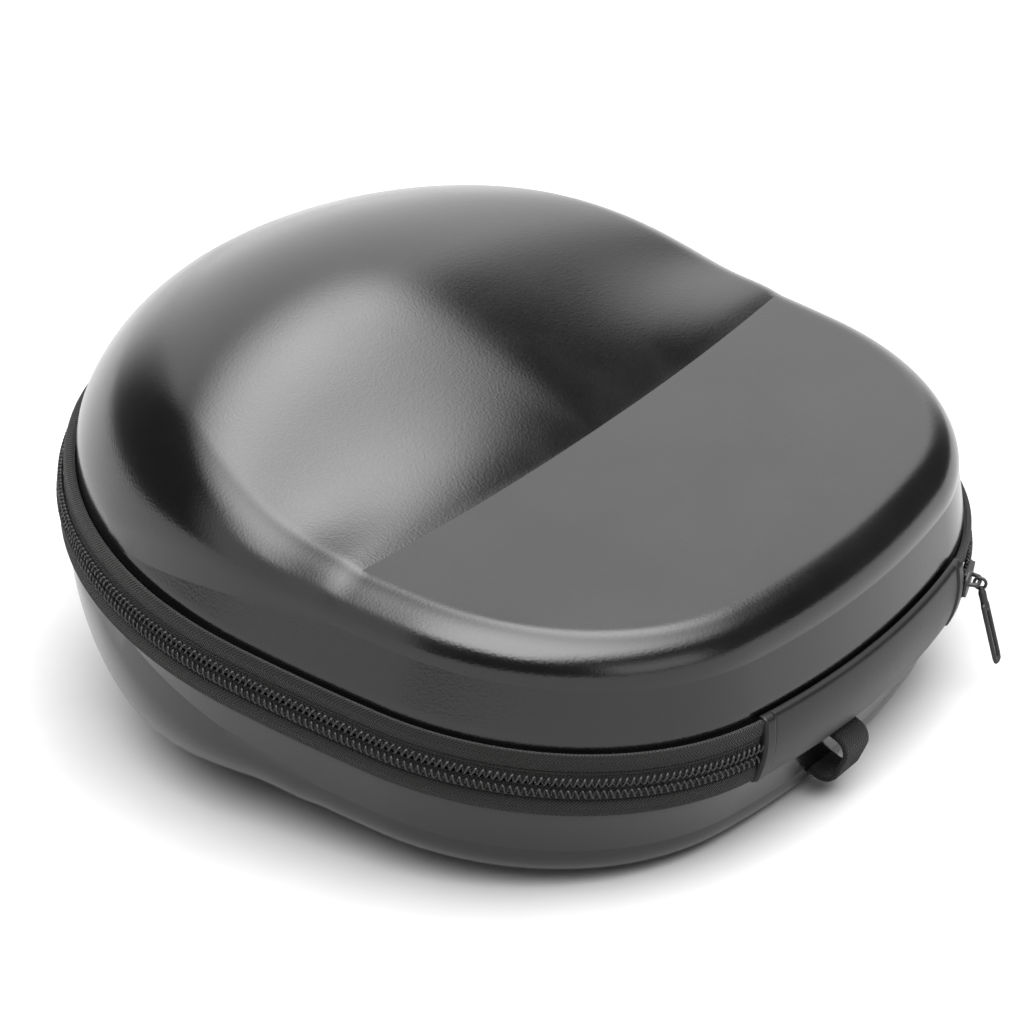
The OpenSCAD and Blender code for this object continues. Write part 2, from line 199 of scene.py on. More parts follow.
def shell_rows(o, st, density):
    """Rows of points from the rim to the crease's middle, o inside the outer face."""
    w, inset = endness(st[:, 1]), wall_inset(st)
    top_z = FLAT_H + (END_H - FLAT_H) * w
    across = SHOULDER_R + (END_SHOULDER_R - SHOULDER_R) * w
    up = np.minimum(across, top_z - BAND_H)
    rows = [beside(st, -inset - o, z) for z in (RIM_Z, (RIM_Z + BAND_H) / 2, BAND_H)]
    for t in np.linspace(0.08, 0.92, 3 + round(9 * density)):
        z = BAND_H + (top_z - up - BAND_H) * t
        rows.append(beside(st, -inset - o - WALL_DRAFT * (z - BAND_H), z))
    turns = max(4, round(18 * density))
    for k in range(turns + 1):
        a = math.pi / 2 * k / turns
        d = inset + o + WALL_DRAFT * (top_z - up - BAND_H) + (across - o) * (1 - math.cos(a))
        row = beside(st, -d, top_z - up + (up - o) * math.sin(a))
        row[:, 2] += swell(row[:, 0], row[:, 1])
        rows.append(row)
    edge, count = rows[-1], max(8, round(52 * density))
    share = lambda t: (math.sqrt(t * t + 0.01) - 0.1) / (math.sqrt(1.01) - 0.1)
    for k in range(count - 1, 0, -1):
        t = k / count
        x = edge[:, 0] * t
        y = CREASE_Y + (edge[:, 1] - CREASE_Y) * t + CREASE_BOW * t * (1 - t) * (edge[:, 0] / 100) ** 2
        rows.append(np.column_stack([x, y, FLAT_H + (top_z - FLAT_H) * share(t) - o + swell(x, y)]))
    return np.array(rows)


# ---------------------------------------------------------------------------------------------
# Mesh tools
# ---------------------------------------------------------------------------------------------
def make(name, points, faces, body, material, slot, uv=None, sharp=40, world=None):
    """A mesh piece from case-frame points. uv gives one pair per point; body None leaves it free."""
    mesh = bpy.data.meshes.new(name)
    mesh.from_pydata((to_row if world is None else world)(points).tolist(), [], faces)
    mesh.validate()
    if uv is not None:
        layer = mesh.uv_layers.new(name="along")
        index = np.zeros(len(mesh.loops), int)
        mesh.loops.foreach_get("vertex_index", index)
        layer.data.foreach_set("uv", np.asarray(uv, np.float32)[index].ravel())
    mesh.shade_smooth()
    mesh.set_sharp_from_angle(angle=math.radians(sharp))
    mesh.materials.append(material)
    piece = bpy.data.objects.new(name, mesh)
    bpy.context.scene.collection.objects.link(piece)
    if body:
        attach(piece, body)
    return piece


def grid_faces(rows, cols, wrap_rows=False, wrap_cols=False, first=0, flip=False):
    """Quads over a grid of rows by cols points that starts at index first."""
    r = np.arange(rows if wrap_rows else rows - 1)[:, None]
    c = np.arange(cols if wrap_cols else cols - 1)[None, :]
    r2, c2 = (r + 1) % rows, (c + 1) % cols
    quads = np.stack([r * cols + c, r * cols + c2, r2 * cols + c2, r2 * cols + c], -1).reshape(-1, 4)
    quads = quads[:, ::-1] if flip else quads
    return (quads + first).tolist()


def sweep(name, stations, profile, body, material, slot, closed=False, sharp=40, flip=False, lengths=None):
    """A closed profile of [offset, z] columns, one row per station or one for all, swept along stations."""
    n = len(stations)
    profile = np.asarray(profile, float)
    if profile.ndim == 2:
        profile = np.broadcast_to(profile, (n,) + profile.shape)
    m = profile.shape[1]
    d, z = profile[..., 0], profile[..., 1]
    grid = np.stack(
        [stations[:, :1] + d * stations[:, 2:3], stations[:, 1:2] + d * stations[:, 3:4], z], -1
    )
    faces = grid_faces(n, m, wrap_rows=closed, wrap_cols=True, flip=flip)
    if not closed:
        ends = [list(range(m)), list(range((n - 1) * m, n * m))[::-1]]
        faces += [e[::-1] for e in ends] if not flip else ends
    around = np.concatenate([[0], np.cumsum(np.hypot(*np.diff(profile[0], axis=0).T))])
    along = np.arange(n) if lengths is None else lengths
    uv = np.stack(np.broadcast_arrays(np.asarray(along, float)[:, None], around[None, :]), -1)
    return make(name, grid.reshape(-1, 3), faces, body, material, slot, uv.reshape(-1, 2), sharp)


def frames_along(path, closed):
    """Tangent and two normals at each point of a path, turned as little as possible."""
    path = np.asarray(path, float)
    ahead, behind = np.roll(path, -1, 0), np.roll(path, 1, 0)
    if not closed:
        ahead[-1], behind[0] = path[-1], path[0]
    t = ahead - behind
    t /= np.linalg.norm(t, axis=1, keepdims=True)
    start = np.cross(t[0], (0, 0, 1) if abs(t[0][2]) < 0.9 else (1, 0, 0))
    u = np.zeros_like(t)
    u[0] = start / np.linalg.norm(start)
    for i in range(1, len(path)):
        v = u[i - 1] - t[i] * (u[i - 1] @ t[i])
        u[i] = v / np.linalg.norm(v)
    return t, u, np.cross(t, u)


def tube_mesh(path, radius, sides=8, closed=False, round_ends=True):
    """Points and faces of a tube along a path. radius may be one number or one per point."""
    path = np.asarray(path, float)
    radius = np.broadcast_to(radius, len(path)).astype(float)
    t, u, v = frames_along(path, closed)
    if round_ends and not closed:
        steps = (0.75, 0.4)
        head = [path[0] - t[0] * radius[0] * k for k in steps]
        tail = [path[-1] + t[-1] * radius[-1] * k for k in steps[::-1]]
        thin = [math.sqrt(1 - k * k) for k in steps]
        radius = np.concatenate([radius[0] * np.array(thin), radius, radius[-1] * np.array(thin[::-1])])
        path = np.vstack([head, path, tail])
        u, v = (np.vstack([a[:1]] * 2 + [a] + [a[-1:]] * 2) for a in (u, v))
    a = np.arange(sides) * 2 * math.pi / sides
    ring = np.cos(a)[None, :, None] * u[:, None] + np.sin(a)[None, :, None] * v[:, None]
    points = (path[:, None] + ring * radius[:, None, None]).reshape(-1, 3)
    faces = grid_faces(len(path), sides, wrap_rows=closed, wrap_cols=True)
    if not closed:
        faces += [list(range(sides))[::-1], list(range(len(points) - sides, len(points)))]
    return points, faces


def joined(parts):
    """One list of points and faces from several."""
    points, faces, first = [], [], 0
    for p, f in parts:
        points.append(p)
        faces += [[i + first for i in face] for face in f]
        first += len(p)
    return np.vstack(points), faces


def mirrored(points, half):
    """Base pieces are the lid's, mirrored in the zip plane."""
    points = np.array(points, float)
    points[..., 2] *= half
    return points


# ---------------------------------------------------------------------------------------------
# Materials
# ---------------------------------------------------------------------------------------------
class Nodes:
    """A short way to write a node tree: n.add("ShaderNodeX", {socket: value or output}) adds and links."""

    def __init__(self, material):
        material.use_nodes = True
        self.tree = material.node_tree
        self.tree.nodes.clear()

    def add(self, kind, inputs=None, **settings):
        made = self.tree.nodes.new(kind)
        for key, value in settings.items():
            setattr(made, key, value)
        for key, value in (inputs or {}).items():
            if isinstance(value, bpy.types.NodeSocket):
                self.tree.links.new(value, made.inputs[key])
            else:
                made.inputs[key].default_value = value
        return made

    def math(self, operation, a, b=0.0, clamp=False):
        return self.add("ShaderNodeMath", {0: a, 1: b}, operation=operation, use_clamp=clamp).outputs[0]

    def span(self, value, low, high, to_low=0.0, to_high=1.0):
        inputs = {"Value": value, "From Min": low, "From Max": high, "To Min": to_low, "To Max": to_high}
        return self.add("ShaderNodeMapRange", inputs, interpolation_type="SMOOTHSTEP").outputs[0]

    def noise(self, vector, scale, detail=3.0, roughness=0.55):
        inputs = {"Vector": vector, "Scale": scale, "Detail": detail, "Roughness": roughness}
        return self.add("ShaderNodeTexNoise", inputs).outputs["Fac"]

    def mix(self, factor, a, b):
        made = self.add("ShaderNodeMix", {0: factor}, data_type="RGBA")
        for key, value in ((6, a), (7, b)):
            if isinstance(value, bpy.types.NodeSocket):
                self.tree.links.new(value, made.inputs[key])
            else:
                made.inputs[key].default_value = (*value, 1)
        return made.outputs[2]

    def finish(self, color, roughness, height=None, bump=0.3, depth=0.0002, **sockets):
        inputs = {"Roughness": roughness, **sockets}
        if height is not None:
            made = self.add("ShaderNodeBump", {"Height": height, "Strength": bump, "Distance": depth})
            inputs["Normal"] = made.outputs[0]
        shader = self.add("ShaderNodeBsdfPrincipled", inputs)
        if isinstance(color, bpy.types.NodeSocket):
            self.tree.links.new(color, shader.inputs["Base Color"])
        else:
            shader.inputs["Base Color"].default_value = (*color, 1)
        out = self.add("ShaderNodeOutputMaterial")
        self.tree.links.new(shader.outputs[0], out.inputs[0])


def new_nodes(name):
    material = bpy.data.materials.new(name)
    return material, Nodes(material)


def leather(name, tint, roughness, grain=0.25, gloss=0.5):
    """Smooth synthetic leather: fine pebble grain, faint cloudiness, slightly uneven gloss."""
    material, n = new_nodes(name)
    place = n.add("ShaderNodeTexCoord").outputs["Object"]
    cells = n.add("ShaderNodeTexVoronoi", {"Vector": place, "Scale": 1500.0, "Randomness": 1.0},
                  feature="SMOOTH_F1")
    fine = n.noise(place, 2600.0, 2.0)
    soft = n.noise(place, 160.0, 3.0)
    cloud = n.noise(place, 28.0, 4.0)
    pebble = n.math("MULTIPLY", cells.outputs["Distance"], 0.8)
    height = n.math("ADD", n.math("ADD", pebble, n.math("MULTIPLY", fine, 0.35)),
                    n.math("MULTIPLY", soft, 0.3))
    dark = tuple(c * 0.75 for c in tint)
    light = tuple(c * 1.3 for c in tint)
    color = n.mix(n.span(cloud, 0.3, 0.7), dark, light)
    rough = n.math("ADD", n.span(cloud, 0.25, 0.75, roughness - 0.03, roughness + 0.03),
                   n.span(fine, 0.3, 0.7, -0.03, 0.03))
    n.finish(color, rough, height, bump=grain, depth=0.00006, **{"Specular IOR Level": gloss})
    return material


def twill(name, tint, pitch=0.62, band=2.4, fuzz=1.0):
    """Herringbone tape: diagonal ribs that change direction from band to band, mapped in millimetres."""
    material, n = new_nodes(name)
    where = n.add("ShaderNodeSeparateXYZ", {0: n.add("ShaderNodeUVMap", uv_map="along").outputs[0]})
    along, across = where.outputs[0], where.outputs[1]
    zigzag = n.math("PINGPONG", across, band)
    lean = n.math("ADD", along, zigzag)
    rib = n.math("SINE", n.math("MULTIPLY", lean, 2 * math.pi / pitch))
    cross = n.math("SINE", n.math("MULTIPLY", n.math("SUBTRACT", n.math("MULTIPLY", across, 1.7), along),
                                  2 * math.pi / pitch))
    weave = n.math("ADD", n.math("MULTIPLY", rib, 0.5), n.math("MULTIPLY", cross, 0.18))
    place = n.add("ShaderNodeTexCoord").outputs["Object"]
    fibre = n.noise(place, 3800.0, 3.0, 0.7)
    cloud = n.noise(place, 90.0, 3.0)
    height = n.math("ADD", weave, n.math("MULTIPLY", fibre, 0.8 * fuzz))
    shade = n.math("ADD", n.span(weave, -0.6, 0.6), n.span(fibre, 0.35, 0.75, -0.25, 0.35), clamp=True)
    color = n.mix(shade, tuple(c * 0.25 for c in tint), tuple(c * 2.0 for c in tint))
    color = n.mix(n.span(cloud, 0.35, 0.7, 0.0, 0.35), color, tint)
    n.finish(color, 0.9, height, bump=0.9, depth=0.0003,
             **{"Sheen Weight": 0.08, "Sheen Roughness": 0.5, "Specular IOR Level": 0.16})
    return material


def webbing(name, tint, ribs=0.9):
    """Narrow woven webbing: plain weave with picks across. The map runs in millimetres."""
    material, n = new_nodes(name)
    where = n.add("ShaderNodeSeparateXYZ", {0: n.add("ShaderNodeUVMap", uv_map="along").outputs[0]})
    a = n.math("SINE", n.math("MULTIPLY", where.outputs[0], 2 * math.pi / ribs))
    b = n.math("SINE", n.math("MULTIPLY", where.outputs[1], 2 * math.pi / ribs))
    weave = n.math("MULTIPLY", a, b)
    fibre = n.noise(n.add("ShaderNodeTexCoord").outputs["Object"], 3000.0, 3.0, 0.7)
    height = n.math("ADD", weave, n.math("MULTIPLY", fibre, 0.7))
    color = n.mix(n.span(height, -0.6, 1.3), tuple(c * 0.4 for c in tint), tuple(c * 1.7 for c in tint))
    n.finish(color, 0.8, height, bump=0.7, depth=0.0002, **{"Sheen Weight": 0.06, "Specular IOR Level": 0.2})
    return material


def knit(name, tint, scale=900.0):
    """Brushed knitted lining: short loops and fuzz."""
    material, n = new_nodes(name)
    place = n.add("ShaderNodeTexCoord").outputs["Object"]
    cells = n.add("ShaderNodeTexVoronoi", {"Vector": place, "Scale": scale, "Randomness": 0.55}, feature="F1")
    fibre = n.noise(place, scale * 3, 3.0, 0.7)
    cloud = n.noise(place, 22.0, 3.0)
    height = n.math("SUBTRACT", n.math("MULTIPLY", fibre, 0.8), cells.outputs["Distance"])
    color = n.mix(n.span(height, -0.5, 0.6), tuple(c * 0.45 for c in tint), tuple(c * 1.5 for c in tint))
    color = n.mix(n.span(cloud, 0.3, 0.7, 0.0, 0.3), color, tuple(c * 1.3 for c in tint))
    n.finish(color, 0.92, height, bump=0.6, depth=0.00025, **{"Sheen Weight": 0.4, "Specular IOR Level": 0.2})
    return material


def plastic(name, tint, roughness, scale=700.0, metallic=0.0, bump=0.1, edge_highlight=0.0):
    """Moulded nylon or painted metal: fine orange peel, slightly uneven gloss, and a light grey highlight
    painted on sharp edges when one is given.
    """
    material, n = new_nodes(name)
    coord = n.add("ShaderNodeTexCoord").outputs["Object"]
    peel, cloud = n.noise(coord, scale, 3.0), n.noise(coord, 180.0, 4.0)
    color = n.mix(n.span(cloud, 0.3, 0.7), tuple(c * 0.8 for c in tint), tuple(c * 1.25 for c in tint))
    # Painted highlight: sharp edges, found by pointiness, are mixed in patches towards light grey
    if edge_highlight:
        edge = n.add("ShaderNodeNewGeometry").outputs["Pointiness"]
        edge_highlight_mask = n.math("MULTIPLY", n.span(edge, 0.52, 0.62), n.span(cloud, 0.35, 0.6, 0.3, 1.0))
        color = n.mix(n.math("MULTIPLY", edge_highlight_mask, edge_highlight), color, (0.22, 0.21, 0.2))
    rough = n.span(cloud, 0.25, 0.75, roughness - 0.06, roughness + 0.06)
    n.finish(color, rough, peel, bump=bump, depth=0.0001, Metallic=metallic)
    return material


LEATHER = leather("shell_leather", (0.0021, 0.0021, 0.0022), 0.19, grain=0.4)
SPINE_LEATHER = leather("spine_leather", (0.0035, 0.0035, 0.0036), 0.42, grain=0.35, gloss=0.3)
TAPE = twill("zip_tape_twill", (0.0065, 0.006, 0.0057), pitch=0.95, band=2.3)
COIL = plastic("zip_coil_nylon", (0.004, 0.0038, 0.0037), 0.5, bump=0.06)
WEBBING = webbing("loop_webbing_weave", (0.0028, 0.0027, 0.0027))
KNIT = knit("lining_knit", (0.022, 0.022, 0.024))
BINDING = twill("binding_twill", (0.013, 0.013, 0.013), pitch=0.5, band=6.0, fuzz=0.7)
FOAM = plastic("eva_foam", (0.02, 0.02, 0.02), 0.8, scale=2400.0, bump=0.5)
# the slider's last value paints a light grey highlight along its sharp edges
METAL = plastic("slider_paint", (0.004, 0.0039, 0.0038), 0.5, metallic=0.0, bump=0.08, edge_highlight=0.12)
PULL = plastic("pull_nylon", (0.003, 0.0029, 0.0028), 0.5, bump=0.08)
THREAD = webbing("black_thread", (0.02, 0.02, 0.02), ribs=0.25)
MESH = knit("pocket_mesh_knit", (0.02, 0.02, 0.022), scale=600.0)
ELASTIC = webbing("elastic_rib", (0.016, 0.016, 0.016), ribs=1.1)


# ---------------------------------------------------------------------------------------------
# Shells: skin, foam and lining of each half
# ---------------------------------------------------------------------------------------------
def tucked(rows, st):
    """The skin turns in where it meets the zip tape."""
    for row in rows:
        pull_in = 0.5 * np.exp(-(((row[:, 2] - 8.6) / 1.5) ** 2))
        row[:, :2] -= st[:, 2:] * pull_in[:, None]
    return rows


def shell(name, inset, thickness, half, body, material, slot, density=1.0):
    """One closed layer of a half shell; half is 1 for the lid and -1 for the base."""
    st = shell_stations(density)
    outer, inner = shell_rows(inset, st, density), shell_rows(inset + thickness, st, density)
    if inset == 0:
        outer = tucked(outer, st)
    rows, cols = outer.shape[:2]
    size = rows * cols
    tips = [[0, CREASE_Y, FLAT_H - inset], [0, CREASE_Y, FLAT_H - inset - thickness]]
    points = mirrored(np.vstack([outer.reshape(-1, 3), inner.reshape(-1, 3), tips]), half)
    lid = half > 0
    faces = grid_faces(rows, cols, wrap_cols=True, flip=lid)
    faces += grid_faces(rows, cols, wrap_cols=True, first=size, flip=not lid)
    for i in range(cols):
        j = (i + 1) % cols
        top, low = (rows - 1) * cols, size + (rows - 1) * cols
        faces.append([top + j, top + i, 2 * size] if lid else [top + i, top + j, 2 * size])
        faces.append([low + i, low + j, 2 * size + 1] if lid else [low + j, low + i, 2 * size + 1])
        faces.append([i, j, size + j, size + i] if lid else [j, i, size + i, size + j])
    return make(name, points, faces, body, material, slot, sharp=12 if inset == 0 else 50)


for half, body in ((1, "lid"), (-1, "base")):
    skin = shell(f"{body}_skin", 0, COVER_T, half, body, LEATHER, "cover_leather")
    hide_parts(f"{body}_cover")
    foam = shell(f"{body}_foam", COVER_T + 0.01, FOAM_T - 0.02, half, body, FOAM, "moulded_foam", 0.4)
    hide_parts(f"{body}_foam_shell")
    inside = shell(f"{body}_knit_lining", COVER_T + FOAM_T, LINING_T, half, body, KNIT, "knit_lining", 0.7)
    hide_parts(f"{body}_lining")

# ---------------------------------------------------------------------------------------------
# Zip: twill tape, continuous coil, binding round the rim
# ---------------------------------------------------------------------------------------------
TAPE_PROFILE = np.array(
    [  # offset from the outline, height; the first and last points lie on the wall
        [-2.0, 7.7], [-1.35, 8.05], [-0.95, 8.7], [-0.4, 8.92], [0.1, 8.86], [0.36, 8.5], [0.46, 7.8],
        [0.5, 6.6], [0.46, 5.4], [0.4, 4.6], [0.18, 4.2], [-0.15, 4.05], [0.1, 3.85], [0.26, 3.6],
        [0.22, 3.3], [0.05, 3.1], [0.05, 1.8], [0.02, 0.55], [-0.2, 0.42], [-0.55, 0.5], [-0.6, 2.2],
        [-0.62, 4.0], [-2.0, 4.05],
    ]
)  # fmt: skip


def zip_tape(half, body):
    s = np.linspace(SPINE_S - 1.0, 2 * HALF_WAY - SPINE_S + 1.0, 420)
    st = outline(s)
    profile = np.broadcast_to(TAPE_PROFILE, (len(st),) + TAPE_PROFILE.shape).copy()
    inset = wall_inset(st)[:, None] + 0.03
    for k in (0, -1):
        profile[:, k, 0] = -inset[:, 0]
    profile[:, 1, 0] = -inset[:, 0] + 0.5
    profile[:, 2, 0] = np.minimum(profile[:, 2, 0], -inset[:, 0] + 1.0)
    profile[..., 1] *= half
    piece = sweep(f"{body}_tape", st, profile, body, TAPE, "zip_tape", flip=half < 0, lengths=s)
    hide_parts(f"{body}_zipper_tape")


COIL_PITCH = 1.75
WIRE_R = 0.32


def zip_coil(half, body):
    """A flattened helix of nylon wire along the tape's edge."""
    length = 2 * (HALF_WAY - SPINE_S)
    turns = round(length / COIL_PITCH)
    u = np.arange(turns * 14) * (2 * math.pi / 14)
    shift = 0.5 if half < 0 else 0.0
    turn = u / (2 * math.pi)
    # the outer strands stand nearly upright; the wire moves on along the tape behind them
    turn = turn + 0.11 * np.sin(2 * math.pi * turn - math.pi / 2) + 0.11
    s = SPINE_S + (turn + shift) * length / (turns + 1)
    st = outline(s)
    up, out = COIL_H / 2 - WIRE_R, COIL_T / 2 - WIRE_R
    squared = lambda w: np.sign(w) * np.abs(w) ** 0.75
    z = COIL_GAP + COIL_H / 2 + up * squared(np.cos(u))
    path = beside(st, 0.2 + COIL_T / 2 + out * squared(np.sin(u)), z * half)
    points, faces = tube_mesh(path, WIRE_R, sides=6)
    piece = make(f"{body}_coil", points, faces, body, COIL, "zip_coil", sharp=60)
    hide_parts(f"{body}_zipper_coil")


def rim_binding(half, body):
    st = shell_stations(0.8)
    inset = wall_inset(st)[:, None]
    outer, inner = 0.0, WALL_T + BINDING_T
    low, top = RIM_Z - BINDING_T, RIM_Z - BINDING_T + BINDING_LEG
    corners = np.array(
        [
            [outer, RIM_Z], [outer, low + 0.25], [outer + 0.25, low], [inner / 2, low - 0.02],
            [inner - 0.3, low], [inner, low + 0.3], [inner + 0.04, (low + top) / 2], [inner, top - 0.2],
            [inner - 0.2, top], [WALL_T, top - 0.1], [WALL_T, RIM_Z],
        ]
    )  # fmt: skip
    profile = np.stack(
        [-inset - corners[:, 0], np.broadcast_to(corners[:, 1] * half, (len(st), len(corners)))], -1)
    piece = sweep(f"{body}_binding", st, profile, body, BINDING, "binding_tape", closed=True, flip=half > 0,
                  lengths=np.arange(len(st)) * 2.4)
    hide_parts(f"{body}_rim_binding")


def stitches(name, s_values, offset_of, z, length, radius, body, material, slot, half=1):
    """A row of running stitches along the outline at height z."""
    parts = []
    for s in s_values:
        st = outline(s + np.linspace(-0.5, 0.5, 4) * length)
        lift = np.array([-0.3, 0.5, 0.5, -0.3]) * radius
        parts.append(tube_mesh(beside(st, offset_of(st) + lift, z * half), radius, sides=6))
    return make(name, *joined(parts), body, material, slot, sharp=70)


for half, body in ((1, "lid"), (-1, "base")):
    zip_tape(half, body)
    zip_coil(half, body)
    rim_binding(half, body)
    stitches(f"{body}_binding_stitches", np.arange(0, 2 * HALF_WAY, 3.6),
             lambda st: -wall_inset(st) - WALL_T - BINDING_T - 0.12,
             7.9, 2.6, 0.2, body, THREAD, "thread", half)


# ---------------------------------------------------------------------------------------------
# Spine: a leather band with a folded hem at each end
# ---------------------------------------------------------------------------------------------
HEM_W = 3.4
HEM_UP = 0.5
SPINE_REACH = 3.4  # how far the soft band laps on towards the slider, past its CAD end


def spine_band():
    near, far = SPINE_S + 0.6, -SPINE_S - SPINE_REACH
    lengths = np.concatenate([
        np.linspace(far, far + HEM_W + 2, 22),
        np.linspace(far + 6.6, near - 6.6, 46),
        np.linspace(near - HEM_W - 2, near, 22)])
    st = outline(lengths)
    from_end = np.minimum(near - lengths, lengths - far)
    hem = smooth(from_end / 0.5) * (1 - smooth((from_end - HEM_W) / 0.5)) * HEM_UP
    groove = -0.22 * np.exp(-((from_end - HEM_W - 0.45) / 0.3) ** 2)
    end_round = -0.5 * (1 - smooth(from_end / 0.4))
    f = np.linspace(1, -1, 33)
    front_d = 0.5 + (SPINE_OUT - 0.5) * (1 - f**2)
    roll = 1 - smooth((np.abs(f) - 0.93) / 0.07)
    rows = []
    for k in range(len(st)):
        d = front_d + (hem[k] + groove[k] + end_round[k]) * roll - 0.45 * (1 - roll)
        z = SPINE_H * f
        back_d = np.array([-1.3, -1.25, -1.0, SPINE_OUT - 1.7, SPINE_OUT - 1.7, SPINE_OUT - 1.7,
                           -1.0, -1.25, -1.3])
        back_z = np.array([-SPINE_H + 0.05, -8, -RIM_Z, -RIM_Z * 0.6, 0,
                           RIM_Z * 0.6, RIM_Z, 8, SPINE_H - 0.05])
        rows.append(np.column_stack([np.concatenate([d, back_d]), np.concatenate([z, back_z])]))
    piece = sweep("spine_band", st, np.array(rows), None, SPINE_LEATHER, "spine_leather",
                  lengths=lengths, sharp=55)
    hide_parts("spine_cover")
    return piece


def hinge_blend(piece):
    """Bakes the piece's placement into its mesh."""
    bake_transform(piece)


hinge_blend(spine_band())


def spine_lining():
    lengths = np.linspace(-SPINE_S + 1, SPINE_S - 1, 40)
    front = -WALL_INSET - WALL_T - BINDING_T - 0.15
    half_h = RIM_Z + BINDING_LEG
    z = np.linspace(half_h, -half_h, 21)
    d = front + 0.0 * z
    profile = np.vstack([np.column_stack([d, z]), np.column_stack([d - 0.7, z])[::-1]])
    piece = sweep("spine_knit", outline(lengths), profile, None, KNIT, "knit_lining", lengths=lengths)
    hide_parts("spine_lining")
    return piece


hinge_blend(spine_lining())


# ---------------------------------------------------------------------------------------------
# Hang loop of webbing on the base, below the spine
# ---------------------------------------------------------------------------------------------
LOOP_LEAN = math.atan(WALL_DRAFT)
LOOP_WALL = WALL_INSET + WALL_DRAFT * (LOOP_Z - BAND_H)
LOOP_Y = SPINE_END[0] * (math.sqrt(1 - (LOOP_X / SPINE_END[0]) ** 2) - 1) + HALF_LEN - LOOP_WALL + 0.25


def on_wall(points):
    """Loop frame (x along the spine, y out of the wall, z up the wall) to the case frame."""
    points = np.asarray(points, float)
    y, z = points[:, 1], points[:, 2]
    c, s = math.cos(LOOP_LEAN), math.sin(LOOP_LEAN)
    return np.column_stack([points[:, 0] + LOOP_X, y * c + z * s + LOOP_Y, z * c - y * s - LOOP_Z])


def rounded_path(corners, radius, steps=10):
    """A 2-D path through corners, each rounded with its own radius."""
    corners = np.asarray(corners, float)
    path = [corners[0]]
    for a, b, c, r in zip(corners, corners[1:], corners[2:], radius):
        u, v = (a - b) / np.linalg.norm(a - b), (c - b) / np.linalg.norm(c - b)
        half = math.acos(np.clip(u @ v, -1, 1)) / 2
        cut = r / math.tan(half)
        start, end = b + u * cut, b + v * cut
        centre = b + (u + v) / np.linalg.norm(u + v) * r / math.sin(half)
        turn = math.pi - 2 * half
        p, q = (start - centre) / r, (end - centre) / r
        for k in range(steps + 1):
            w = k / steps
            direction = (p * math.sin((1 - w) * turn) + q * math.sin(w * turn)) / math.sin(turn)
            path.append(centre + direction * r)
    path.append(corners[-1])
    return np.array(path)


def resampled(path, spacing):
    """Points at even spacing along a path."""
    steps = np.concatenate([[0], np.cumsum(np.linalg.norm(np.diff(path, axis=0), axis=1))])
    at = np.linspace(0, steps[-1], max(3, round(steps[-1] / spacing) + 1))
    return np.column_stack([np.interp(at, steps, path[:, k]) for k in range(path.shape[1])]), at


def ribbon(path, width, thickness, twist=0.0, ribs=0, rib_depth=0.0):
    """Points, faces and map of a webbing ribbon along a 2-D path of [y, z]; its width runs along x."""
    path = np.asarray(path, float)
    t = np.gradient(path, axis=0)
    t /= np.linalg.norm(t, axis=1, keepdims=True)
    normal = np.column_stack([t[:, 1], -t[:, 0]])
    cols = 41
    a = np.linspace(-1, 1, cols)
    edge = np.sqrt(np.clip(1 - np.clip((np.abs(a) - 0.9) / 0.1, 0, 1) ** 2, 0.02, 1))
    wave = rib_depth * np.cos(a * math.pi * ribs) if ribs else 0 * a
    face = np.column_stack([a * width / 2, (thickness / 2 + wave) * edge])
    back = np.column_stack([a * width / 2, -(thickness / 2 + wave) * edge])[::-1]
    ring = np.vstack([face, back])
    grid = np.zeros((len(path), len(ring), 3))
    grid[..., 0] = ring[None, :, 0]
    grid[..., 1:] = path[:, None] + normal[:, None] * ring[None, :, 1:]
    m = len(ring)
    faces = grid_faces(len(path), m, wrap_cols=True)
    faces += [list(range(m))[::-1], list(range((len(path) - 1) * m, len(path) * m))]
    steps = np.concatenate([[0], np.cumsum(np.linalg.norm(np.diff(path, axis=0), axis=1))])
    uv = np.stack(np.broadcast_arrays(steps[:, None], ring[None, :, 0]), -1).reshape(-1, 2)
    return grid.reshape(-1, 3), faces, uv


def hang_loop():
    out, half = LOOP_OUT - LOOP_T / 2, (LOOP_H - LOOP_T) / 2
    corners = [[-0.2, half], [out, half], [out, -half], [-0.2, -half]]
    path, _ = resampled(rounded_path(corners, (4.3, 4.3), 14), 0.5)
    points, faces, uv = ribbon(path, LOOP_W, LOOP_T, ribs=12, rib_depth=0.05)
    piece = make("webbing_loop", on_wall(points), faces, "base", WEBBING, "loop_webbing", uv, sharp=50)
    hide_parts("hang_loop")


def bar_tacks():
    """Dense zigzag stitches that hold the two feet of the loop."""
    parts = []
    for side in (-1, 1):
        z = side * (LOOP_H / 2 + 0.6)
        x = np.linspace(-0.4 * LOOP_W, 0.4 * LOOP_W, 33)
        zigzag = np.column_stack([x, 0.42 + 0 * x, z + 0.32 * np.where(np.arange(33) % 2, 1, -1)])
        parts.append(tube_mesh(zigzag, 0.19, sides=6))
    points, faces = joined(parts)
    piece = make("loop_tacks", on_wall(points), faces, "base", THREAD, "thread", sharp=70)
    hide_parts("hang_loop_bar_tacks")


hang_loop()
bar_tacks()

# ---------------------------------------------------------------------------------------------
# Slider and pull
# ---------------------------------------------------------------------------------------------
SLIDER_TURN = math.radians(SPINE_END[1] + SLIDER_DEG)
CORNER_X = ARCS[1][1] - CORNER[0] * math.sin(ARCS[1][3])
CORNER_Y = ARCS[1][2] + HALF_LEN - CORNER[0] * math.cos(ARCS[1][3])
HANG = math.atan(math.tan(TILT) * math.cos(SLIDER_TURN)) + math.radians(PULL_LEAN)


